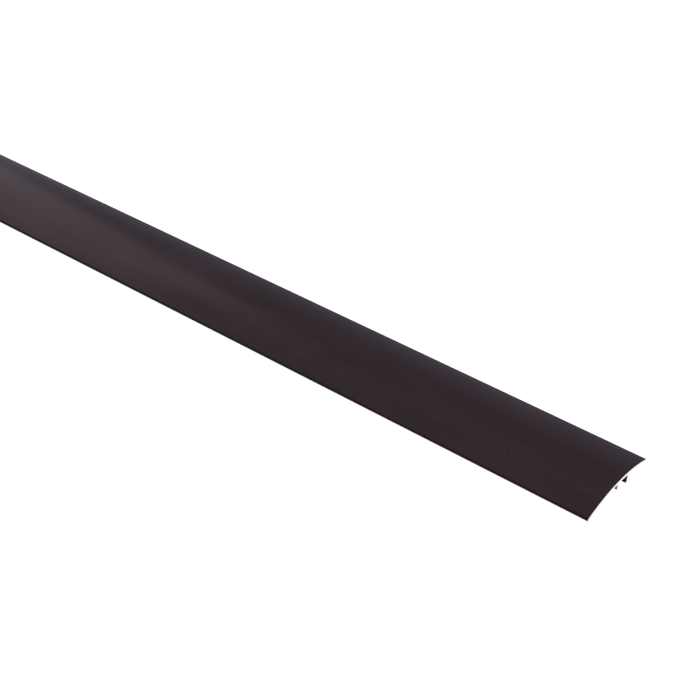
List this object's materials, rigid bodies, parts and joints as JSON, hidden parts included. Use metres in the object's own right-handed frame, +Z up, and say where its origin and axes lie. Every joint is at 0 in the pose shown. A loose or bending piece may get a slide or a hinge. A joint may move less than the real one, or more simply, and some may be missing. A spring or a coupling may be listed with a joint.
{
  "type": "threshold cover strip",
  "caption": "Arched metal cover strip for the joint between floors, with a channel underneath for sliding drive-in pins in slit nylon floor plugs.",
  "frame": {"origin": "middle of the strip's length and width, on the floor plane that its two long edges and the back leg of its channel rest on", "axes": "+X along the strip, +Y across it towards the edge that the fixing channel is nearer to, +Z up out of the floor; the floor plugs reach below the floor plane"},
  "size_m": [0.73, 0.041, 0.023],
  "materials": {
    "anodised_aluminium": "satin dark bronze anodising, bare metal on the sawn ends",
    "zinc_plated_steel": "bright zinc plating",
    "moulded_nylon": "natural nylon, as moulded"
  },
  "bodies": {
    "cover": {"cover_profile": "anodised_aluminium"},
    "pin_1": {"fixing_pin_1": "zinc_plated_steel"},
    "pin_2": {"fixing_pin_2": "zinc_plated_steel"},
    "pin_3": {"fixing_pin_3": "zinc_plated_steel"},
    "pin_4": {"fixing_pin_4": "zinc_plated_steel"},
    "pin_5": {"fixing_pin_5": "zinc_plated_steel"},
    "plug_1": {"floor_plug_1": "moulded_nylon"},
    "plug_2": {"floor_plug_2": "moulded_nylon"},
    "plug_3": {"floor_plug_3": "moulded_nylon"},
    "plug_4": {"floor_plug_4": "moulded_nylon"},
    "plug_5": {"floor_plug_5": "moulded_nylon"}
  },
  "joints": [
    {"name": "pin_1_slide", "type": "slide", "parent": "cover", "child": "pin_1", "axis": [1, 0, 0], "range_m": [-0.045, 0.07]},
    {"name": "pin_2_slide", "type": "slide", "parent": "cover", "child": "pin_2", "axis": [1, 0, 0], "range_m": [-0.07, 0.07]},
    {"name": "pin_3_slide", "type": "slide", "parent": "cover", "child": "pin_3", "axis": [1, 0, 0], "range_m": [-0.07, 0.07]},
    {"name": "pin_4_slide", "type": "slide", "parent": "cover", "child": "pin_4", "axis": [1, 0, 0], "range_m": [-0.07, 0.07]},
    {"name": "pin_5_slide", "type": "slide", "parent": "cover", "child": "pin_5", "axis": [1, 0, 0], "range_m": [-0.07, 0.045]},
    {"name": "plug_1_drive", "type": "slide", "parent": "pin_1", "child": "plug_1", "axis": [0, 0, 1], "range_m": [-0.012, 0]},
    {"name": "plug_2_drive", "type": "slide", "parent": "pin_2", "child": "plug_2", "axis": [0, 0, 1], "range_m": [-0.012, 0]},
    {"name": "plug_3_drive", "type": "slide", "parent": "pin_3", "child": "plug_3", "axis": [0, 0, 1], "range_m": [-0.012, 0]},
    {"name": "plug_4_drive", "type": "slide", "parent": "pin_4", "child": "plug_4", "axis": [0, 0, 1], "range_m": [-0.012, 0]},
    {"name": "plug_5_drive", "type": "slide", "parent": "pin_5", "child": "plug_5", "axis": [0, 0, 1], "range_m": [-0.012, 0]}
  ]
}
